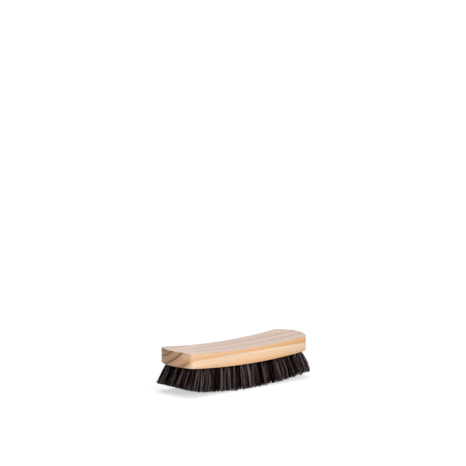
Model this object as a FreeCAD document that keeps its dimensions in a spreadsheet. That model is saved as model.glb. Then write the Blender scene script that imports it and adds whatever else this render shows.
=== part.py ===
import FreeCAD, Part
import math
import os
import Sketcher
from FreeCAD import Placement, Rotation, Vector

# Shoe shine brush: a curved wooden block, tufts of horsehair and the flat wire that anchors each tuft.
# X runs along the block, Y across it and Z up. The lowest bristle tips stand on z = 0.

# Driving dimensions, in millimetres, degrees and counts
SIZES = {
    "block_length": 168.0,
    "block_width": 50.0,
    "block_thickness": 15.6,
    "block_bow": 4.8,
    "end_bulge": 9.5,
    "corner_radius": 7.0,
    "top_edge_round": 0.6,
    "bottom_edge_round": 1.0,
    "saw_waste": 6.0,
    "bristle_length": 25.2,
    "trim_radius": 500.0,
    "line_count": 7,
    "long_line_tufts": 18,
    "end_inset": 10.4,
    "side_inset": 6.5,
    "end_lean": 22.0,
    "side_lean": 9.0,
    "hole_diameter": 5.5,
    "hole_depth": 10.0,
    "drill_run_in": 2.0,
    "tuft_play": 0.1,
    "tuft_neck": 1.5,
    "tuft_gap": 0.3,
    "trim_spare": 4.0,
    "fold_gap": 0.2,
    "fold_thickness": 1.5,
    "anchor_height": 1.8,
    "anchor_thickness": 0.4,
    "anchor_bite": 0.6,
    "anchor_play": 0.05,
}

# How far from parallel, in radians, two directions still count as parallel
ANGLE_TOLERANCE = 0.01

# Formulas that several features share
BOW_RADIUS = "((sizes.block_length / 2)^2 / (2 * sizes.block_bow) + sizes.block_bow / 2)"
END_RADIUS = "((sizes.block_width / 2)^2 / (2 * sizes.end_bulge) + sizes.end_bulge / 2)"
ROOT_RADIUS = "(sizes.hole_diameter / 2 - sizes.tuft_play)"
PITCH = "((sizes.block_length - 2 * sizes.end_inset) / (sizes.long_line_tufts - 1))"
LINE_SPACING = "((sizes.block_width - 2 * sizes.side_inset) / (sizes.line_count - 1))"
END_DROP = "(sizes.bristle_length + sizes.block_bow - (sizes.block_length / 2)^2 / (2 * sizes.trim_radius))"
SIDE_SPREAD = f"(1 + {END_DROP} * tan(sizes.side_lean * 1 deg) / (sizes.block_width / 2 - sizes.side_inset))"
TIP_SPACING = f"min({PITCH}; hypot({PITCH} / 2; {LINE_SPACING} * {SIDE_SPREAD}))"
TIP_RADIUS = f"(({TIP_SPACING} - sizes.tuft_gap) / 2)"
ANCHOR_LENGTH = "(sizes.hole_diameter + 2 * sizes.anchor_bite)"


def make_sheet(doc):
    sheet = doc.addObject("Spreadsheet::Sheet", "sizes")
    for row, (name, value) in enumerate(SIZES.items(), start=1):
        sheet.set(f"A{row}", name)
        sheet.set(f"B{row}", str(value))
        sheet.setAlias(f"B{row}", name)
    doc.recompute()
    return sheet


doc = FreeCAD.newDocument("shoe_brush")
sheet = make_sheet(doc)


def size(name):
    return float(sheet.get(name))


def add(kind, name, **formulas):
    item = doc.addObject(kind, name)
    for prop, formula in formulas.items():
        item.setExpression(prop, formula)
    return item


def boolean(kind, name, base, tool):
    item = doc.addObject(kind, name)
    item.Base = base
    item.Tool = tool
    return item


def group(name, members):
    item = doc.addObject("Part::Compound", name)
    item.Links = members
    return item


# A sketch's numbers for a curve's points and for its own origin and axes
START, END, CENTRE = 1, 2, 3
ORIGIN, LEVEL_AXIS, UPRIGHT_AXIS = -1, -1, -2


def new_sketch(body, name, plane_role):
    sketch = body.newObject("Sketcher::SketchObject", name)
    plane = next(item for item in body.Origin.OriginFeatures if item.Role == plane_role)
    sketch.AttachmentSupport = [(plane, "")]
    sketch.MapMode = "FlatFace"
    return sketch


def fix(sketch, kind, *reference, formula):
    current = float(sheet.evalExpression(formula))
    index = sketch.addConstraint(Sketcher.Constraint(kind, *reference, current))
    sketch.setExpression(f"Constraints[{index}]", formula)


def arc(centre, radius, first, last):
    circle = Part.Circle(Vector(*centre, 0), Vector(0, 0, 1), radius)
    return Part.ArcOfCircle(circle, first, last)


def line(first, last):
    return Part.LineSegment(Vector(*first, 0), Vector(*last, 0))


def block_radii():
    half_length = size("block_length") / 2
    half_width = size("block_width") / 2
    bow = size("block_bow")
    bulge = size("end_bulge")
    bow_radius = half_length**2 / (2 * bow) + bow / 2
    end_radius = half_width**2 / (2 * bulge) + bulge / 2
    return bow_radius, end_radius


def underside_height(x):
    bow_radius, _ = block_radii()
    return size("bristle_length") + bow_radius - math.sqrt(bow_radius**2 - x**2)


def draw_side_profile(body):
    # The slab seen from the front: two arcs of one radius, a thickness apart, and upright ends
    sketch = new_sketch(body, "side_profile", "XZ_Plane")
    radius, _ = block_radii()
    half = size("block_length") / 2
    thickness = size("block_thickness")
    swing = math.asin(half / radius)
    rise = radius - math.sqrt(radius**2 - half**2)
    down = -math.pi / 2
    under = sketch.addGeometry(arc((0, radius), radius, down - swing, down + swing))
    over = sketch.addGeometry(arc((0, radius + thickness), radius, down - swing, down + swing))
    right = sketch.addGeometry(line((half, rise), (half, rise + thickness)))
    left = sketch.addGeometry(line((-half, rise), (-half, rise + thickness)))
    for end_line, arc_end in ((right, END), (left, START)):
        sketch.addConstraint(Sketcher.Constraint("Coincident", end_line, START, under, arc_end))
        sketch.addConstraint(Sketcher.Constraint("Coincident", end_line, END, over, arc_end))
        sketch.addConstraint(Sketcher.Constraint("Vertical", end_line))
    for curve in (under, over):
        sketch.addConstraint(Sketcher.Constraint("PointOnObject", curve, CENTRE, UPRIGHT_AXIS))
    sketch.addConstraint(Sketcher.Constraint("Equal", under, over))
    fix(sketch, "Radius", under, formula=BOW_RADIUS)
    fix(sketch, "DistanceY", ORIGIN, START, under, CENTRE, formula=BOW_RADIUS)
    fix(sketch, "DistanceY", under, CENTRE, over, CENTRE, formula="sizes.block_thickness")
    fix(sketch, "DistanceX", ORIGIN, START, right, START, formula="sizes.block_length / 2")
    fix(sketch, "DistanceX", left, START, ORIGIN, START, formula="sizes.block_length / 2")
    return sketch


def draw_plan_waste(body):
    # What is sawn away around the plan outline: straight sides, bowed ends and rounded corners
    sketch = new_sketch(body, "plan_waste", "XY_Plane")
    _, end_radius = block_radii()
    corner = size("corner_radius")
    half_length = size("block_length") / 2
    half_width = size("block_width") / 2
    end_centre = half_length - end_radius
    corner_y = half_width - corner
    corner_x = end_centre + math.sqrt((end_radius - corner) ** 2 - corner_y**2)
    turn = math.atan2(corner_y, corner_x - end_centre)
    quarter = math.pi / 2
    half_turn = math.pi
    outline = [
        arc((end_centre, 0), end_radius, -turn, turn),
        arc((corner_x, corner_y), corner, turn, quarter),
        line((corner_x, half_width), (-corner_x, half_width)),
        arc((-corner_x, corner_y), corner, quarter, half_turn - turn),
        arc((-end_centre, 0), end_radius, half_turn - turn, half_turn + turn),
        arc((-corner_x, -corner_y), corner, half_turn + turn, 3 * quarter),
        line((-corner_x, -half_width), (corner_x, -half_width)),
        arc((corner_x, -corner_y), corner, -quarter, -turn),
    ]
    curves = [sketch.addGeometry(curve) for curve in outline]
    right_end, left_end = curves[0], curves[4]
    back_side, front_side = curves[2], curves[6]
    corners = curves[1::2]
    for curve, following in zip(curves, curves[1:] + curves[:1]):
        sketch.addConstraint(Sketcher.Constraint("Tangent", curve, END, following, START))
    for side in (back_side, front_side):
        sketch.addConstraint(Sketcher.Constraint("Horizontal", side))
    for other in corners[1:]:
        sketch.addConstraint(Sketcher.Constraint("Equal", corners[0], other))
    for end in (right_end, left_end):
        sketch.addConstraint(Sketcher.Constraint("PointOnObject", end, CENTRE, LEVEL_AXIS))
    sketch.addConstraint(Sketcher.Constraint("Equal", right_end, left_end))
    end_offset = f"{END_RADIUS} - sizes.block_length / 2"
    fix(sketch, "Radius", corners[0], formula="sizes.corner_radius")
    fix(sketch, "Radius", right_end, formula=END_RADIUS)
    fix(sketch, "DistanceX", ORIGIN, START, right_end, CENTRE, formula=f"-({end_offset})")
    fix(sketch, "DistanceX", ORIGIN, START, left_end, CENTRE, formula=end_offset)
    fix(sketch, "DistanceY", ORIGIN, START, back_side, START, formula="sizes.block_width / 2")
    fix(sketch, "DistanceY", front_side, START, ORIGIN, START, formula="sizes.block_width / 2")
    draw_waste_border(sketch, half_length + size("saw_waste"), half_width + size("saw_waste"))
    return sketch


def draw_waste_border(sketch, reach_x, reach_y):
    points = [(reach_x, reach_y), (-reach_x, reach_y), (-reach_x, -reach_y), (reach_x, -reach_y)]
    following = points[1:] + points[:1]
    lines = [sketch.addGeometry(line(first, last)) for first, last in zip(points, following)]
    for side, after in zip(lines, lines[1:] + lines[:1]):
        sketch.addConstraint(Sketcher.Constraint("Coincident", side, END, after, START))
    for index, side in enumerate(lines):
        direction = "Vertical" if index % 2 else "Horizontal"
        sketch.addConstraint(Sketcher.Constraint(direction, side))
    top, left, bottom, right = lines
    half_length = "sizes.block_length / 2 + sizes.saw_waste"
    half_width = "sizes.block_width / 2 + sizes.saw_waste"
    fix(sketch, "DistanceY", ORIGIN, START, top, START, formula=half_width)
    fix(sketch, "DistanceY", bottom, START, ORIGIN, START, formula=half_width)
    fix(sketch, "DistanceX", ORIGIN, START, right, START, formula=half_length)
    fix(sketch, "DistanceX", left, START, ORIGIN, START, formula=half_length)


def face_height(face):
    return face.CenterOfMass.z


def bowed_faces(shape):
    # The rounded underside and the hollow back, lowest first: the faces that turn about Y
    across = Vector(0, 1, 0)
    faces = []
    for face in shape.Faces:
        if isinstance(face.Surface, Part.Cylinder) and face.Surface.Axis.isParallel(across, ANGLE_TOLERANCE):
            faces.append(face)
    return sorted(faces, key=face_height)


def edge_names(shape, face):
    names = []
    for index, edge in enumerate(shape.Edges, start=1):
        if any(edge.isSame(rim_edge) for rim_edge in face.Edges):
            names.append(f"Edge{index}")
    return names


def round_rim(body, name, base, face, radius):
    rounded = body.newObject("PartDesign::Fillet", name)
    rounded.Base = (base, edge_names(base.Shape, face))
    rounded.setExpression("Radius", radius)
    doc.recompute()
    return rounded


def make_blank():
    body = doc.addObject("PartDesign::Body", "block_blank")
    slab = body.newObject("PartDesign::Pad", "slab")
    slab.Profile = draw_side_profile(body)
    slab.SideType = "Symmetric"
    slab.setExpression("Length", "sizes.block_width")
    doc.recompute()
    shaped = body.newObject("PartDesign::Pocket", "shaped_ends")
    shaped.Profile = draw_plan_waste(body)
    shaped.Type = "ThroughAll"
    shaped.SideType = "Symmetric"
    doc.recompute()
    if shaped.Shape.Volume >= slab.Shape.Volume:
        raise RuntimeError("the ends were not shaped")
    underside = bowed_faces(shaped.Shape)[0]
    eased = round_rim(body, "rounded_bottom_edge", shaped, underside, "sizes.bottom_edge_round")
    hollow_back = bowed_faces(eased.Shape)[-1]
    body.Tip = round_rim(body, "eased_top_edge", eased, hollow_back, "sizes.top_edge_round")
    body.setExpression("Placement.Base.z", "sizes.bristle_length")
    doc.recompute()
    return body


def tuft_lines():
    # Lengthwise lines from front to back; short and long lines alternate, half a pitch apart
    count = int(size("line_count"))
    most = int(size("long_line_tufts"))
    outer_x = size("block_length") / 2 - size("end_inset")
    outer_y = size("block_width") / 2 - size("side_inset")
    pitch = 2 * outer_x / (most - 1)
    lines = []
    for index in range(count):
        y = outer_y * (2 * index / (count - 1) - 1)
        short = index % 2 == 0
        number = most - 1 if short else most
        first = -outer_x + (pitch / 2 if short else 0)
        lines.append([(first + pitch * place, y) for place in range(number)])
    return lines


def tuft_frame(x, y):
    # Origin at the hole's mouth, local Z up the hole; all tufts fan out from the block's middle
    outer_x = size("block_length") / 2 - size("end_inset")
    outer_y = size("block_width") / 2 - size("side_inset")
    slope_x = math.tan(math.radians(size("end_lean"))) * x / outer_x
    slope_y = math.tan(math.radians(size("side_lean"))) * y / outer_y
    up = Vector(-slope_x, -slope_y, 1).normalize()
    turn = Rotation(Vector(1, 0, 0), Vector(0, 1, 0), up, "ZXY")
    return Placement(Vector(x, y, underside_height(x)), turn)


def shifted(frame, x, y, z):
    return frame * Placement(Vector(x, y, z), Rotation())


def make_hole(name, frame):
    hole = add(
        "Part::Cylinder", name,
        Radius="sizes.hole_diameter / 2",
        Height="sizes.hole_depth + sizes.drill_run_in",
    )
    hole.Placement = shifted(frame, 0, 0, -size("drill_run_in"))
    return hole


def make_strip(name, frame, play):
    # The anchor's strip of wire across the hole, or the space for it with some play all round
    spare = f"2 * {play}" if play else "0"
    strip = add(
        "Part::Box", name,
        Length=f"{ANCHOR_LENGTH} + {spare}",
        Width=f"sizes.anchor_thickness + {spare}",
        Height=f"sizes.anchor_height + {spare}",
    )
    extra = size("anchor_play") if play else 0
    half_length = size("hole_diameter") / 2 + size("anchor_bite") + extra
    half_thickness = size("anchor_thickness") / 2 + extra
    deep_edge = size("hole_depth") - size("fold_gap") - size("fold_thickness")
    shallow_edge = deep_edge - size("anchor_height") - extra
    strip.Placement = shifted(frame, -half_length, -half_thickness, shallow_edge)
    return strip


def make_tuft(name, frame):
    # A round root in the hole, and below its neck a bundle that flares towards the tips
    root = add(
        "Part::Cylinder", f"{name}_root",
        Radius=ROOT_RADIUS,
        Height="sizes.hole_depth - sizes.fold_gap + sizes.tuft_neck",
    )
    root.Placement = shifted(frame, 0, 0, -size("tuft_neck"))
    flare = add(
        "Part::Cone", f"{name}_flare",
        Radius1=TIP_RADIUS,
        Radius2=ROOT_RADIUS,
        Height="sizes.bristle_length - sizes.tuft_neck + sizes.trim_spare",
    )
    lowest = -(size("bristle_length") + size("trim_spare"))
    flare.Placement = shifted(frame, 0, 0, lowest)
    return [root, flare]


def make_trim_space():
    # Everything above the curved trim: a wide drum on its side, whose lowest line is at z = 0
    drum = add(
        "Part::Cylinder", "trim_space",
        Radius="sizes.trim_radius",
        Height="2 * sizes.block_width",
    )
    turn = Rotation(Vector(1, 0, 0), -90)
    drum.Placement = Placement(Vector(0, -size("block_width"), size("trim_radius")), turn)
    return drum


def make_tuft_row(number, places, trim_space):
    name = f"tuft_row_{number:02d}"
    bundles = []
    windows = []
    for index, (x, y) in enumerate(places, start=1):
        frame = tuft_frame(x, y)
        bundles += make_tuft(f"{name}_{index}", frame)
        windows.append(make_strip(f"{name}_window_{index}", frame, "sizes.anchor_play"))
    whole = doc.addObject("Part::MultiFuse", f"{name}_bundles")
    whole.Shapes = bundles
    trimmed = boolean("Part::Common", f"{name}_trimmed", whole, trim_space)
    row = boolean("Part::Cut", name, trimmed, group(f"{name}_windows", windows))
    row.Label = name
    return row


def make_block(lines):
    holes = []
    slots = []
    for place in (spot for spots in lines for spot in spots):
        frame = tuft_frame(*place)
        holes.append(make_hole(f"hole_{len(holes) + 1}", frame))
        slots.append(make_strip(f"slot_{len(slots) + 1}", frame, "sizes.anchor_play"))
    drilled = boolean("Part::Cut", "drilled_blank", make_blank(), group("holes", holes))
    block = boolean("Part::Cut", "block", drilled, group("slots", slots))
    block.Label = "block"
    return block


def make_anchor_line(number, places):
    name = f"anchor_line_{number}"
    strips = []
    for index, (x, y) in enumerate(places, start=1):
        strips.append(make_strip(f"{name}_{index}", tuft_frame(x, y), ""))
    wires = group(name, strips)
    wires.Label = name
    return wires


def rows_across(lines):
    # The same places sorted into rows across the width, from the left end to the right
    rows = {}
    for x, y in (spot for spots in lines for spot in spots):
        rows.setdefault(round(x, 3), []).append((x, y))
    return [rows[x] for x in sorted(rows)]


def check_document(pieces):
    for item in doc.Objects:
        if "Invalid" in item.State or "Error" in item.State:
            raise RuntimeError(f"{item.Name} failed: {item.State}")
    for piece in pieces:
        if piece.Shape.isNull() or not piece.Shape.isValid():
            raise RuntimeError(f"{piece.Label} has no valid shape")


lines = tuft_lines()
trim_space = make_trim_space()
pieces = [make_block(lines)]
for number, places in enumerate(rows_across(lines), start=1):
    pieces.append(make_tuft_row(number, places, trim_space))
for number, places in enumerate(lines, start=1):
    pieces.append(make_anchor_line(number, places))
doc.recompute()
check_document(pieces)

os.makedirs("parts", exist_ok=True)
for piece in pieces:
    piece.Shape.exportStep(f"parts/{piece.Label}.step")
    print(piece.Label, len(piece.Shape.Solids), "solids", round(piece.Shape.Volume, 1), "mm3")
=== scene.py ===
import math

import bpy
import numpy as np
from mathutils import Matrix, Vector


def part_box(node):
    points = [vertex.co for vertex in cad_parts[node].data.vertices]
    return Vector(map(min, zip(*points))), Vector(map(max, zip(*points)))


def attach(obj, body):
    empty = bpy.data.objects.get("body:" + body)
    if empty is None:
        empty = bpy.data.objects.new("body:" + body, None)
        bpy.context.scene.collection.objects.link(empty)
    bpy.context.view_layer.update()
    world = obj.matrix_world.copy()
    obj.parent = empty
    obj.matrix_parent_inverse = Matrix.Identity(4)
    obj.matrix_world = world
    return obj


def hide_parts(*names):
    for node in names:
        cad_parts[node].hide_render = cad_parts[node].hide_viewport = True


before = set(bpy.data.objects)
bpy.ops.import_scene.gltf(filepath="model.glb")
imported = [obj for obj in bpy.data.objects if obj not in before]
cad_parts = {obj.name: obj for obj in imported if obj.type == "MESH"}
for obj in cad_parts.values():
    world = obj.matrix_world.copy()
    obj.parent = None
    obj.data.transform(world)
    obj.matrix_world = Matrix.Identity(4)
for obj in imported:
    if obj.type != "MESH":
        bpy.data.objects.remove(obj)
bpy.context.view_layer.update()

# Shoe shine brush: a curved pine block, dark horsehair tufts and the wire that holds them.
# Metres throughout. X runs along the block, Y across it and Z up; the hair stands on z = 0.

BLOCK_LOW, BLOCK_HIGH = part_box("block")

# The photograph's frame and where it shows the middle of the block's hollow back
PHOTO_PIXELS = 466
FOCAL_PIXELS = 2500
BACK_MIDDLE_PIXEL = (234.57, 344.71)
BACK_MIDDLE_DEPTH = 2.5296
CAMERA_YAW = math.radians(39.9)
CAMERA_PITCH = math.radians(8.28)
SENSOR_WIDTH = 36

# The block and the layout of the tufts
BRISTLE_LENGTH = BLOCK_LOW[2]
BLOCK_THICKNESS = 0.0156
BLOCK_BOW = 0.0048
HALF_LENGTH = (BLOCK_HIGH[0] - BLOCK_LOW[0]) / 2
HALF_WIDTH = (BLOCK_HIGH[1] - BLOCK_LOW[1]) / 2
BOW_RADIUS = HALF_LENGTH**2 / (2 * BLOCK_BOW) + BLOCK_BOW / 2
TRIM_RADIUS = 0.5
LINE_COUNT = 7
LONG_LINE_TUFTS = 18
END_INSET = 0.0104
SIDE_INSET = 0.0065
OUTER_X = HALF_LENGTH - END_INSET
OUTER_Y = HALF_WIDTH - SIDE_INSET
END_SLOPE = math.tan(math.radians(22))
SIDE_SLOPE = math.tan(math.radians(9))

# One tuft: hairs folded double over the wire at the bottom of the hole
SEED = 45
HAIRS_PER_TUFT = 210
ROOT_REACH = 0.00262
# Below a half, hairs stand closer together at the rim of a tuft than in its middle
RIM_POWER = 0.36
TIP_REACH = 0.0051
NECK = 0.0008
FLARE_POWER = 1.1
WIRE_TOP = 0.0083
# The room beside the wire is a share of the tuft's radius, as is the slip between a hair's two legs
WIRE_ROOM = 0.1
LEG_SLIP = 0.1
WIRE_PLAY = 0.00015
FOLD_DEPTH = 0.0012
FOLD_DROP = 0.8
HAIR_RADIUS = 0.00011
TIP_RADIUS = 0.00008
LEG_STEPS = (0.34, 0.68, 1.0)
HAIR_SIDES = 3
# Rounds in which the length down to the trim is found
TRIM_ROUNDS = 4

# Locks of hair: how far each leans, bows and ends short of the trim
LOCKS_PER_TUFT = 30
LOCK_PULL = 0.65
LOCK_LEAN = 0.0004
TUFT_LEAN = 0.0004
LOCK_BOW = 0.0005
TUFT_BOW = 0.0004
HAIR_BOW = 0.0002
LOCK_LIFT = (-0.0003, 0.0008)
HAIR_LIFT = 0.0002
TIP_SPREAD = 0.00022
STRAY_SHARE = 0.04
STRAY_REACH = 0.0012
# The hair is swept a little to the left, and the tufts of the right half are rounder at the tips
SWEEP = 0.0005
RIGHT_ROUNDING = 0.002
RIGHT_POWER = 0.5
DOME_MIDDLE = 0.4
# The tips of the left end are cut a little shorter
LEFT_RISE = 0.0028
LEFT_RISE_START = 0.066
LEFT_RISE_RUN = 0.026

# Hair tones run from 0 to 1; hair deep inside the brush is darkened with painted shade
TONE_MEAN = 0.455
HAIR_TONE_SPREAD = 0.18
LOCK_TONE_SPREAD = 0.4
INNER_PAINTED_SHADE = 0.9
INNER_POWER = 8
# The tufts of the right end are a little paler
RIGHT_END_TONE = 0.18
RIGHT_END_START = 0.05
RIGHT_END_RUN = 0.02

# The flat map's cell for one hair: its sides below, and its two tips as triangles above them
CELL_WIDTH = 0.9
CELL_HEIGHT = 0.8
TIP_TRIANGLE = ((0.2, 0.86), (0.3, 0.86), (0.25, 0.95))
SECOND_TIP_SHIFT = 0.4


def underside_height(x):
    return BRISTLE_LENGTH + BOW_RADIUS - math.sqrt(BOW_RADIUS**2 - x**2)


def trim_height(x):
    # A round trim, raised at the left end
    extra = LEFT_RISE * np.clip((-x - LEFT_RISE_START) / LEFT_RISE_RUN, 0, 1)
    return TRIM_RADIUS - np.sqrt(TRIM_RADIUS**2 - x**2) + extra


def tuft_rows():
    # Places on the underside, sorted into rows across the width from the left end to the right
    pitch = 2 * OUTER_X / (LONG_LINE_TUFTS - 1)
    rows = {}
    for line in range(LINE_COUNT):
        y = OUTER_Y * (2 * line / (LINE_COUNT - 1) - 1)
        short = line % 2 == 0
        number = LONG_LINE_TUFTS - 1 if short else LONG_LINE_TUFTS
        first = 0.5 if short else 0.0
        for place in range(number):
            rows.setdefault(first + place, []).append((pitch * (first + place) - OUTER_X, y))
    return [rows[key] for key in sorted(rows)]


def tuft_axes(x, y):
    # The hole's mouth, and the directions along the wire, across it and up the hole
    mouth = Vector((x, y, underside_height(x)))
    up = Vector((-END_SLOPE * x / OUTER_X, -SIDE_SLOPE * y / OUTER_Y, 1)).normalized()
    along = Vector((1, 0, 0))
    along = (along - up * along.dot(up)).normalized()
    return [np.array(item) for item in (mouth, along, up.cross(along), up)]


def disc_spots(rng, count):
    angle = rng.uniform(0, 2 * math.pi, count)
    reach = rng.uniform(0, 1, count) ** RIM_POWER
    return np.stack([reach * np.cos(angle), reach * np.sin(angle)], axis=1)


def leg_roots(rng):
    # Where the two legs of each hair stand in the hole, one on each side of the wire
    first = disc_spots(rng, HAIRS_PER_TUFT)
    first[:, 1] = WIRE_ROOM + (1 - WIRE_ROOM) * np.abs(first[:, 1])
    second = first * (1, -1) + rng.normal(0, LEG_SLIP, first.shape)
    second[:, 1] = np.minimum(second[:, 1], -WIRE_ROOM)
    for spots in (first, second):
        spots /= np.maximum(np.linalg.norm(spots, axis=1, keepdims=True), 1)
    return first, second


def comb_tips(rng, roots):
    # Hairs gather into small locks, each with its own lean, bow, length and tone
    centres = disc_spots(rng, LOCKS_PER_TUFT)
    lean = rng.normal(0, LOCK_LEAN, (LOCKS_PER_TUFT, 2))
    tuft_lean = rng.normal(0, TUFT_LEAN, 2)
    bow = rng.normal(0, LOCK_BOW, (LOCKS_PER_TUFT, 2)) + rng.normal(0, TUFT_BOW, 2)
    lift = rng.uniform(*LOCK_LIFT, LOCKS_PER_TUFT)
    tone = rng.normal(0, LOCK_TONE_SPREAD, LOCKS_PER_TUFT)
    gaps = np.linalg.norm(roots[:, None] - centres[None], axis=2)
    lock = np.argmin(gaps, axis=1)
    spots = roots + LOCK_PULL * (centres[lock] - roots)
    tips = spots * TIP_REACH + lean[lock] + tuft_lean + rng.normal(0, TIP_SPREAD, roots.shape)
    stray = rng.uniform(0, 1, (len(roots), 1)) < STRAY_SHARE
    tips += stray * rng.normal(0, STRAY_REACH, roots.shape)
    tips[:, 0] -= SWEEP
    bows = bow[lock] + rng.normal(0, HAIR_BOW, roots.shape)
    return tips, bows, lift[lock], tone[lock]


def leg_lengths(tips, lift, axes):
    # How far each leg runs from the mouth of the hole before it meets the trim
    mouth, along, across, up = axes
    flat = tips[:, :1] * along + tips[:, 1:] * across + mouth
    run = np.zeros(len(tips))
    for _ in range(TRIM_ROUNDS):
        x = flat[:, 0] - up[0] * run
        run = (flat[:, 2] - np.maximum(trim_height(x) + lift, 0)) / up[2]
    return run


def hair_legs(rng, roots, axes):
    # Points of each leg from the fold to the tip, and the tone of its hair
    mouth, along, across, up = axes
    tips, bow, lift, tone = comb_tips(rng, roots)
    count = len(roots)
    right = np.clip(mouth[0] / OUTER_X, 0, 1) ** RIGHT_POWER
    dome = np.sum(roots**2, axis=1) - DOME_MIDDLE
    lift = lift + rng.exponential(HAIR_LIFT, count) + right * RIGHT_ROUNDING * dome
    run = leg_lengths(tips, lift, axes)
    fold = WIRE_TOP + WIRE_PLAY + FOLD_DEPTH * np.abs(roots[:, 1])
    inside = roots * ROOT_REACH
    levels = [(inside, fold - FOLD_DROP * np.abs(inside[:, 1])), (inside, np.full(count, -NECK))]
    for step in LEG_STEPS:
        spread = inside + (tips - inside) * step**FLARE_POWER + bow * math.sin(math.pi * step)
        levels.append((spread, -NECK - step * (run - NECK)))
    points = []
    for spot, depth in levels:
        points.append(spot[:, :1] * along + spot[:, 1:] * across + depth[:, None] * up + mouth)
    middle = inside[:, :1] * along + fold[:, None] * up + mouth
    return np.stack(points, axis=1), middle, tone


def tuft_hairs(rng, x, y):
    # One path per hair, from one tip up into the hole, over the wire and down to the other tip
    axes = tuft_axes(x, y)
    first_roots, second_roots = leg_roots(rng)
    first, first_middle, first_tone = hair_legs(rng, first_roots, axes)
    second, second_middle, second_tone = hair_legs(rng, second_roots, axes)
    middle = (first_middle + second_middle) / 2
    paths = np.concatenate([first[:, ::-1], middle[:, None], second], axis=1)
    # Tufts deep inside the brush are darkened with painted shade
    outward = max(abs(x) / OUTER_X, abs(y) / OUTER_Y)
    painted_shade = 1 - INNER_PAINTED_SHADE * (1 - outward**INNER_POWER)
    right_end = float(np.clip((x - RIGHT_END_START) / RIGHT_END_RUN, 0, 1))
    own = rng.normal(TONE_MEAN, HAIR_TONE_SPREAD, HAIRS_PER_TUFT) + RIGHT_END_TONE * right_end
    steps = first.shape[1]
    tones = np.empty(paths.shape[:2])
    tones[:, :steps] = (own + first_tone)[:, None]
    tones[:, steps:] = (own + second_tone)[:, None]
    return paths, np.clip(tones, 0, 1) * painted_shade, axes[1]


def tube_rings(paths, along, phase):
    # Three points round each path point, square to the path
    tangent = np.gradient(paths, axis=1)
    tangent /= np.linalg.norm(tangent, axis=2, keepdims=True)
    side = along - tangent * (tangent @ along)[..., None]
    side /= np.linalg.norm(side, axis=2, keepdims=True)
    other = np.cross(tangent, side)
    steps = paths.shape[1]
    from_fold = np.abs(np.linspace(-1, 1, steps))
    radius = HAIR_RADIUS + (TIP_RADIUS - HAIR_RADIUS) * from_fold**2
    rings = []
    for index in range(HAIR_SIDES):
        angle = phase + 2 * math.pi * index / HAIR_SIDES
        offset = np.cos(angle)[:, None, None] * side + np.sin(angle)[:, None, None] * other
        rings.append(paths + offset * radius[None, :, None])
    return np.stack(rings, axis=2)


def tube_faces(hairs, steps):
    # Quads round each hair and a triangle on each tip, as vertex numbers
    start = np.arange(hairs)[:, None, None] * steps * HAIR_SIDES
    step = np.arange(steps - 1)[None, :, None] * HAIR_SIDES
    side = np.arange(HAIR_SIDES)[None, None, :]
    following = (side + 1) % HAIR_SIDES
    base = start + step
    corners = [base + side, base + following, base + following + HAIR_SIDES, base + side + HAIR_SIDES]
    quads = np.stack(corners, axis=-1).reshape(-1, 4)
    first = np.arange(hairs)[:, None] * steps * HAIR_SIDES
    near = first + np.arange(HAIR_SIDES)[::-1]
    far = first + (steps - 1) * HAIR_SIDES + np.arange(HAIR_SIDES)
    return quads, np.concatenate([near, far])


def tube_map(hairs, steps):
    # A flat map in which every hair has a cell of its own
    cells = math.ceil(math.sqrt(hairs))
    number = np.arange(hairs)
    corner = np.stack([number % cells, number // cells], axis=1) / cells
    u = np.arange(HAIR_SIDES + 1) / HAIR_SIDES * CELL_WIDTH / cells
    v = np.arange(steps) / (steps - 1) * CELL_HEIGHT / cells
    grid = np.stack(np.meshgrid(u, v, indexing="xy"), axis=-1)
    spots = corner[:, None, None] + grid[None]
    corners = [spots[:, :-1, :-1], spots[:, :-1, 1:], spots[:, 1:, 1:], spots[:, 1:, :-1]]
    quads = np.stack(corners, axis=3)
    tip = np.array(TIP_TRIANGLE) / cells
    near = corner[:, None] + tip
    far = corner[:, None] + tip + (SECOND_TIP_SHIFT / cells, 0)
    return np.concatenate([quads.reshape(-1, 2), near.reshape(-1, 2), far.reshape(-1, 2)])


def build_mesh(name, points, quads, triangles):
    mesh = bpy.data.meshes.new(name)
    loops = np.concatenate([quads.ravel(), triangles.ravel()])
    totals = np.concatenate([np.full(len(quads), 4), np.full(len(triangles), 3)])
    starts = np.concatenate([[0], np.cumsum(totals)[:-1]])
    mesh.vertices.add(len(points))
    mesh.vertices.foreach_set("co", points.astype(np.float32).ravel())
    mesh.loops.add(len(loops))
    mesh.loops.foreach_set("vertex_index", loops.astype(np.int32))
    mesh.polygons.add(len(totals))
    mesh.polygons.foreach_set("loop_start", starts.astype(np.int32))
    mesh.polygons.foreach_set("use_smooth", np.ones(len(totals), dtype=bool))
    mesh.update(calc_edges=True)
    return mesh


def store_values(mesh, name, values):
    # One number for each path point, repeated for the points round it
    layer = mesh.attributes.new(name, "FLOAT", "POINT")
    layer.data.foreach_set("value", np.repeat(values, HAIR_SIDES).astype(np.float32))


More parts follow.
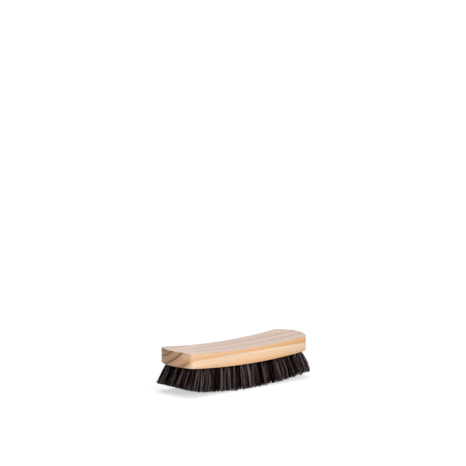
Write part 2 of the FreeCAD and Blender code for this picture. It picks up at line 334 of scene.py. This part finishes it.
def make_hair_row(number, places, material):
    tones, rings = [], []
    for index, (x, y) in enumerate(places):
        rng = np.random.default_rng([SEED, number, index])
        paths, tuft_tones_and_shade, along = tuft_hairs(rng, x, y)
        phase = rng.uniform(0, 2 * math.pi, len(paths))
        rings.append(tube_rings(paths, along, phase))
        tones.append(tuft_tones_and_shade)
    points = np.concatenate(rings)
    hairs, steps = points.shape[:2]
    quads, triangles = tube_faces(hairs, steps)
    mesh = build_mesh(f"hair_row_{number:02d}", points.reshape(-1, 3), quads, triangles)
    # The stored tone includes the painted shade of the inner tufts
    store_values(mesh, "hair_tone_and_shade", np.concatenate(tones).ravel())
    store_values(mesh, "hair_run", np.tile(np.abs(np.linspace(-1, 1, steps)), hairs))
    flat_map = mesh.uv_layers.new(name="OFBake")
    flat_map.data.foreach_set("uv", tube_map(hairs, steps).astype(np.float32).ravel())
    mesh.materials.append(material)
    piece = bpy.data.objects.new(mesh.name, mesh)
    bpy.context.scene.collection.objects.link(piece)
    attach(piece, "root")
    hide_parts(f"tuft_row_{number:02d}")


def add_node(tree, kind, settings=None, **inputs):
    # A shader node with its settings, and its inputs as numbers or as links from other nodes
    made = tree.nodes.new(kind)
    for name, value in (settings or {}).items():
        setattr(made, name, value)
    for name, value in inputs.items():
        place = int(name[1:]) if name[0] == "i" and name[1:].isdigit() else name.replace("_", " ")
        if isinstance(value, bpy.types.NodeSocket):
            tree.links.new(value, made.inputs[place])
        else:
            made.inputs[place].default_value = value
    return made


def math_node(tree, operation, first, second=0.0, third=0.0):
    settings = {"operation": operation}
    return add_node(tree, "ShaderNodeMath", settings, i0=first, i1=second, i2=third).outputs[0]


def between(tree, value, low, high, to_low, to_high):
    limits = {"From_Min": low, "From_Max": high, "To_Min": to_low, "To_Max": to_high}
    return add_node(tree, "ShaderNodeMapRange", Value=value, **limits).outputs[0]


def stretched_noise(tree, place, repeats, detail):
    # Noise whose size along X, Y and Z is given in repeats to the metre
    mapped = add_node(tree, "ShaderNodeMapping", Vector=place, Scale=repeats).outputs[0]
    noise = add_node(tree, "ShaderNodeTexNoise", Vector=mapped, Scale=1.0, Detail=detail)
    return noise.outputs[0]


def ramp(tree, value, stops):
    made = add_node(tree, "ShaderNodeValToRGB", Fac=value)
    elements = made.color_ramp.elements
    while len(elements) < len(stops):
        elements.new(0.5)
    for element, (position, colour) in zip(elements, stops):
        element.position = position
        element.color = (*colour, 1)
    return made.outputs[0]


def mix_colours(tree, factor, first, second, blend="MIX"):
    made = add_node(tree, "ShaderNodeMix", {"data_type": "RGBA", "blend_type": blend})
    for place, value in ((0, factor), (6, first), (7, second)):
        if isinstance(value, bpy.types.NodeSocket):
            tree.links.new(value, made.inputs[place])
        else:
            made.inputs[place].default_value = value if place == 0 else (*value, 1)
    return made.outputs[2]


def shaded(tree, colour, level):
    # A colour made darker or paler by a level that may change from spot to spot
    grey = add_node(tree, "ShaderNodeCombineColor", Red=level, Green=level, Blue=level).outputs[0]
    return mix_colours(tree, 1.0, colour, grey, "MULTIPLY")


def object_place(tree):
    return add_node(tree, "ShaderNodeTexCoord").outputs["Object"]


def new_material(name):
    material = bpy.data.materials.new(name)
    material.use_nodes = True
    tree = material.node_tree
    return material, tree, tree.nodes["Principled BSDF"]


# Growth rings of the block: the tree's heart lies above the brush, and each ring ends in a dark edge
HEART_Y = 0.0229
HEART_Z = 0.0846
HEART_DRIFT_Y = -0.008
HEART_DRIFT_Z = 0.02
RING_EDGES = (0.033, 0.0415, 0.0473, 0.0559, 0.0674, 0.0763, 0.087)
RING_REACH = 0.1
RING_SHARPNESS = 0.0004
RING_MIDDLE = 0.4
RING_WANDER = 0.0012
WANDER_REPEATS = (9, 60, 60)
WANDER_DETAIL = 2.0

# Wood of the long sides, whose late wood is redder towards the right end, and which is darkened there by
# painted shade
EARLY_WOOD = (0.765, 0.572, 0.408)
LATE_WOOD = (0.7, 0.375, 0.157)
RIGHT_LATE_WOOD = (0.655, 0.33, 0.118)
RIGHT_LATE_RUN = (-0.02, 0.055)
RIGHT_SIDE_PAINTED_SHADE = 0.87
RIGHT_SIDE_RUN = (0.046, 0.074)
# End grain, darkened by painted shade where it lies near the tree's heart, the upper back part of each
# end
END_EARLY_WOOD = (0.70, 0.41, 0.24)
END_INNER_PAINTED_SHADE = (0.45, 0.25, 0.16)
HEARTWARD = (0.042, 0.053)
END_LATE_WOOD = (0.29, 0.13, 0.065)
END_LATE_RANGE = (0.45, 0.85)
# Wood of the back and the underside: flat grain, paler and bluer than the long sides, partly as painted
# sheen
FLAT_EARLY_WOOD_AND_SHEEN = (0.87, 0.635, 0.505)
FLAT_LATE_WOOD_AND_SHEEN = (0.66, 0.41, 0.295)
# How squarely a surface faces along X or Z where its wood changes to end grain or flat grain
END_FACING = (0.72, 0.93)
FLAT_FACING = (0.5, 0.9)

# Layers of grain: repeats to the metre, fineness of the noise, and the darkest and palest level
STREAKS = ((14, 700, 700), 3.0, 0.86, 1.1)
FIBRES = ((90, 4200, 4200), 2.0, 0.93, 1.06)
DOTS = ((400, 2600, 2600), 2.0, 0.96, 1.04)
GRAIN_RANGE = (0.25, 0.75)
STREAK_RANGE = (0.2, 0.8)
STREAK_ROUGHNESS = (0.46, 0.34)
END_ROUGHER = 0.2
SEAL_WEIGHT = 0.3
SEAL_ROUGHNESS = 0.3
FIBRE_BUMP = 0.2
FIBRE_DEPTH = 0.0001


def ring_stops():
    # Pale just outside each edge, darkening slowly and then faster towards the next
    stops = []
    for edge, following in zip(RING_EDGES, RING_EDGES[1:]):
        middle = (edge + following) / 2
        stops.append(((edge + RING_SHARPNESS) / RING_REACH, (0.0,) * 3))
        stops.append((middle / RING_REACH, (RING_MIDDLE,) * 3))
        stops.append(((following - RING_SHARPNESS) / RING_REACH, (1.0,) * 3))
    return stops


def ring_reach(tree, place):
    # How far each spot lies from the tree's heart
    x, y, z = add_node(tree, "ShaderNodeSeparateXYZ", Vector=place).outputs
    heart_y = math_node(tree, "MULTIPLY_ADD", x, HEART_DRIFT_Y, HEART_Y)
    heart_z = math_node(tree, "MULTIPLY_ADD", x, HEART_DRIFT_Z, HEART_Z)
    aside = math_node(tree, "POWER", math_node(tree, "SUBTRACT", y, heart_y), 2.0)
    below = math_node(tree, "POWER", math_node(tree, "SUBTRACT", z, heart_z), 2.0)
    reach = math_node(tree, "SQRT", math_node(tree, "ADD", aside, below))
    noise = stretched_noise(tree, place, WANDER_REPEATS, WANDER_DETAIL)
    wander = between(tree, noise, 0.0, 1.0, -RING_WANDER, RING_WANDER)
    return math_node(tree, "ADD", reach, wander)


def side_wood(tree, place, lateness):
    along = add_node(tree, "ShaderNodeSeparateXYZ", Vector=place).outputs[0]
    redness = between(tree, along, *RIGHT_LATE_RUN, 0.0, 1.0)
    late_wood = mix_colours(tree, redness, LATE_WOOD, RIGHT_LATE_WOOD)
    colour = mix_colours(tree, lateness, EARLY_WOOD, late_wood)
    # The long sides darken towards the right end as painted shade
    return shaded(tree, colour, between(tree, along, *RIGHT_SIDE_RUN, 1.0, RIGHT_SIDE_PAINTED_SHADE))


def end_wood(tree, reach, lateness):
    # Painted shade darkens the end grain near the tree's heart
    outwardness = between(tree, reach, *HEARTWARD, 0.0, 1.0)
    early_wood_and_shade = mix_colours(tree, outwardness, END_INNER_PAINTED_SHADE, END_EARLY_WOOD)
    end_lateness = between(tree, lateness, *END_LATE_RANGE, 0.0, 1.0)
    return mix_colours(tree, end_lateness, early_wood_and_shade, END_LATE_WOOD)


def facing_shares(tree):
    # How much each spot shows end grain, and how much flat grain
    normal = add_node(tree, "ShaderNodeNewGeometry").outputs["Normal"]
    facing = add_node(tree, "ShaderNodeSeparateXYZ", Vector=normal).outputs
    endness = between(tree, math_node(tree, "ABSOLUTE", facing[0]), *END_FACING, 0.0, 1.0)
    flatness = between(tree, math_node(tree, "ABSOLUTE", facing[2]), *FLAT_FACING, 0.0, 1.0)
    return endness, flatness


def wood_material():
    material, tree, shader = new_material("pine")
    place = object_place(tree)
    reach = ring_reach(tree, place)
    lateness = ramp(tree, math_node(tree, "DIVIDE", reach, RING_REACH), ring_stops())
    endness, flatness = facing_shares(tree)
    # Flat grain colour, paler and bluer than the sides partly as painted sheen
    flat_wood_and_sheen = mix_colours(tree, lateness, FLAT_EARLY_WOOD_AND_SHEEN, FLAT_LATE_WOOD_AND_SHEEN)
    colour = mix_colours(tree, endness, side_wood(tree, place, lateness), end_wood(tree, reach, lateness))
    colour = mix_colours(tree, flatness, colour, flat_wood_and_sheen)
    patterns = []
    for repeats, detail, dark, pale in (STREAKS, FIBRES, DOTS):
        pattern = stretched_noise(tree, place, repeats, detail)
        colour = shaded(tree, colour, between(tree, pattern, *GRAIN_RANGE, dark, pale))
        patterns.append(pattern)
    streaks, fibres = patterns[:2]
    tree.links.new(colour, shader.inputs["Base Color"])
    smooth = between(tree, streaks, *STREAK_RANGE, *STREAK_ROUGHNESS)
    rough = math_node(tree, "MULTIPLY_ADD", endness, END_ROUGHER, smooth)
    tree.links.new(rough, shader.inputs["Roughness"])
    seal = between(tree, endness, 0.0, 1.0, SEAL_WEIGHT, 0.0)
    tree.links.new(seal, shader.inputs["Coat Weight"])
    shader.inputs["Coat Roughness"].default_value = SEAL_ROUGHNESS
    bump = add_node(tree, "ShaderNodeBump", Height=fibres, Strength=FIBRE_BUMP, Distance=FIBRE_DEPTH)
    tree.links.new(bump.outputs[0], shader.inputs["Normal"])
    return material


# Hair from nearly black through brown to a few pale strands, in cooler and warmer patches
HAIR_TONES = (
    (0.0, (0.0072, 0.0012, 0.001)),
    (0.45, (0.0205, 0.0098, 0.0096)),
    (0.8, (0.067, 0.051, 0.0505)),
    (1.0, (0.2, 0.172, 0.168)),
)
PATCH_REPEATS = (140, 140, 60)
PATCH_DETAIL = 1.0
PATCH_TINTS = ((0.35, (1.0, 1.0, 1.06)), (0.65, (1.12, 0.95, 0.92)))
# Hair near its fold, under the block, is darkened with painted shade, and pale hair is the shinier
ROOT_RUN = (0.4, 0.5)
ROOT_PAINTED_SHADE = 0.35
HAIR_ROUGHNESS = (0.5, 0.34)
SHINE_TONES = (0.1, 0.7)
SHINE = 0.1


def hair_material():
    material, tree, shader = new_material("horsehair")
    tone = add_node(tree, "ShaderNodeAttribute", {"attribute_name": "hair_tone_and_shade"}).outputs["Fac"]
    run = add_node(tree, "ShaderNodeAttribute", {"attribute_name": "hair_run"}).outputs["Fac"]
    patches = stretched_noise(tree, object_place(tree), PATCH_REPEATS, PATCH_DETAIL)
    tint = ramp(tree, patches, PATCH_TINTS)
    # This tone includes painted shade on the inner tufts
    colour = mix_colours(tree, 1.0, ramp(tree, tone, HAIR_TONES), tint, "MULTIPLY")
    # Painted shade darkens the hair near its fold, under the block
    colour = shaded(tree, colour, between(tree, run, *ROOT_RUN, ROOT_PAINTED_SHADE, 1.0))
    tree.links.new(colour, shader.inputs["Base Color"])
    rough = between(tree, tone, 0.0, 1.0, *HAIR_ROUGHNESS)
    tree.links.new(rough, shader.inputs["Roughness"])
    shine = between(tree, tone, *SHINE_TONES, 0.0, SHINE)
    tree.links.new(shine, shader.inputs["Specular IOR Level"])
    return material


# Drawn wire, streaked along its length
DRAWN_REPEATS = (150, 9000, 9000)
DRAWN_DETAIL = 2.0
DRAWN_RANGE = (0.3, 0.7)
WIRE_TONES = ((0.46, 0.45, 0.43), (0.64, 0.63, 0.61))
WIRE_ROUGHNESS = (0.24, 0.42)


def wire_material():
    material, tree, shader = new_material("anchor_wire")
    drawn = stretched_noise(tree, object_place(tree), DRAWN_REPEATS, DRAWN_DETAIL)
    colour = ramp(tree, drawn, list(zip(DRAWN_RANGE, WIRE_TONES)))
    tree.links.new(colour, shader.inputs["Base Color"])
    rough = between(tree, drawn, *DRAWN_RANGE, *WIRE_ROUGHNESS)
    tree.links.new(rough, shader.inputs["Roughness"])
    shader.inputs["Metallic"].default_value = 1.0
    return material


def dress_node(name, material):
    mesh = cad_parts[name].data
    mesh.materials.clear()
    mesh.materials.append(material)


# Light levels, relative to a white surface that renders white at 1
AMBIENT_LEVEL = 0.33
WHITE = (1, 1, 1, 1)
FLOOR_COLOUR = (0.8, 0.8, 0.8, 1)
FLOOR_GLOW = 0.56
FAR_FLOOR_GLOW = 0.8
FLOOR_FADE = (0.25, 0.8)
FLOOR_RADIUS = 14
FLOOR_CORNERS = 64
LAMP_DISTANCE = 1.3
# Each lamp: the direction it shines from, its level and the length of its side
KEY_LAMP = ((0.0, -0.99, 0.12), 1.1, 0.9)
TOP_LAMP = ((-0.1, 0.1, 1.0), 0.325, 1.2)


def seen_directly(tree):
    # 1 for rays from the camera and for reflections of the background, 0 for the light it gives
    path = add_node(tree, "ShaderNodeLightPath")
    seen = math_node(tree, "MAXIMUM", path.outputs["Is Camera Ray"], path.outputs["Is Glossy Ray"])
    return math_node(tree, "MAXIMUM", seen, path.outputs["Is Transmission Ray"])


def make_world():
    world = bpy.data.worlds.new("studio")
    bpy.context.scene.world = world
    world.use_nodes = True
    tree = world.node_tree
    tree.nodes.clear()
    ambient = add_node(tree, "ShaderNodeBackground", Color=WHITE, Strength=AMBIENT_LEVEL).outputs[0]
    white = add_node(tree, "ShaderNodeBackground", Color=WHITE, Strength=1.0).outputs[0]
    mixed = add_node(tree, "ShaderNodeMixShader", i0=seen_directly(tree), i1=ambient, i2=white)
    add_node(tree, "ShaderNodeOutputWorld", Surface=mixed.outputs[0])


def floor_material():
    # A matt floor with a glow that only shows to the camera, so that it renders white
    material = bpy.data.materials.new("pale_floor")
    material.use_nodes = True
    tree = material.node_tree
    tree.nodes.clear()
    matt = add_node(tree, "ShaderNodeBsdfDiffuse", Color=FLOOR_COLOUR)
    away = add_node(tree, "ShaderNodeVectorMath", {"operation": "LENGTH"}, i0=object_place(tree))
    level = between(tree, away.outputs["Value"], *FLOOR_FADE, FLOOR_GLOW, FAR_FLOOR_GLOW)
    glow_strength = math_node(tree, "MULTIPLY", seen_directly(tree), level)
    glow = add_node(tree, "ShaderNodeEmission", Color=WHITE, Strength=glow_strength)
    lit = add_node(tree, "ShaderNodeAddShader", i0=matt.outputs[0], i1=glow.outputs[0])
    add_node(tree, "ShaderNodeOutputMaterial", Surface=lit.outputs[0])
    return material


def make_floor():
    mesh = bpy.data.meshes.new("floor")
    corners = []
    for index in range(FLOOR_CORNERS):
        turn = 2 * math.pi * index / FLOOR_CORNERS
        corners.append((FLOOR_RADIUS * math.cos(turn), FLOOR_RADIUS * math.sin(turn), 0))
    mesh.from_pydata(corners, [], [range(FLOOR_CORNERS)])
    floor = bpy.data.objects.new("floor", mesh)
    bpy.context.scene.collection.objects.link(floor)
    mesh.materials.append(floor_material())


def make_lamp(name, direction, level, size):
    # A soft square lamp that lights a surface facing it to the given level
    light = bpy.data.lights.new(name, "AREA")
    light.energy = level * (math.pi * LAMP_DISTANCE) ** 2
    light.size = size
    lamp = bpy.data.objects.new(name, light)
    toward = Vector(direction).normalized()
    lamp.location = toward * LAMP_DISTANCE + Vector((0, 0, BRISTLE_LENGTH))
    lamp.rotation_euler = toward.to_track_quat("Z", "Y").to_euler()
    bpy.context.scene.collection.objects.link(lamp)


def make_camera():
    camera_data = bpy.data.cameras.new("camera")
    camera_data.sensor_width = SENSOR_WIDTH
    camera_data.lens = FOCAL_PIXELS / PHOTO_PIXELS * SENSOR_WIDTH
    camera = bpy.data.objects.new("camera", camera_data)
    camera.rotation_euler = (math.pi / 2 - CAMERA_PITCH, 0, -CAMERA_YAW)
    turn = camera.rotation_euler.to_matrix()
    across, down = (pixel - PHOTO_PIXELS / 2 for pixel in BACK_MIDDLE_PIXEL)
    step = BACK_MIDDLE_DEPTH / FOCAL_PIXELS
    seen = turn @ Vector((across * step, -down * step, -BACK_MIDDLE_DEPTH))
    camera.location = Vector((0, 0, BRISTLE_LENGTH + BLOCK_THICKNESS)) - seen
    bpy.context.scene.collection.objects.link(camera)
    bpy.context.scene.camera = camera


bpy.context.scene.view_settings.view_transform = "Standard"
make_camera()
make_world()
make_floor()
make_lamp("key", *KEY_LAMP)
make_lamp("top", *TOP_LAMP)

dress_node("block", wood_material())
wire = wire_material()
for line in range(LINE_COUNT):
    dress_node(f"anchor_line_{line + 1}", wire)
hair = hair_material()
for number, places in enumerate(tuft_rows(), start=1):
    make_hair_row(number, places, hair)
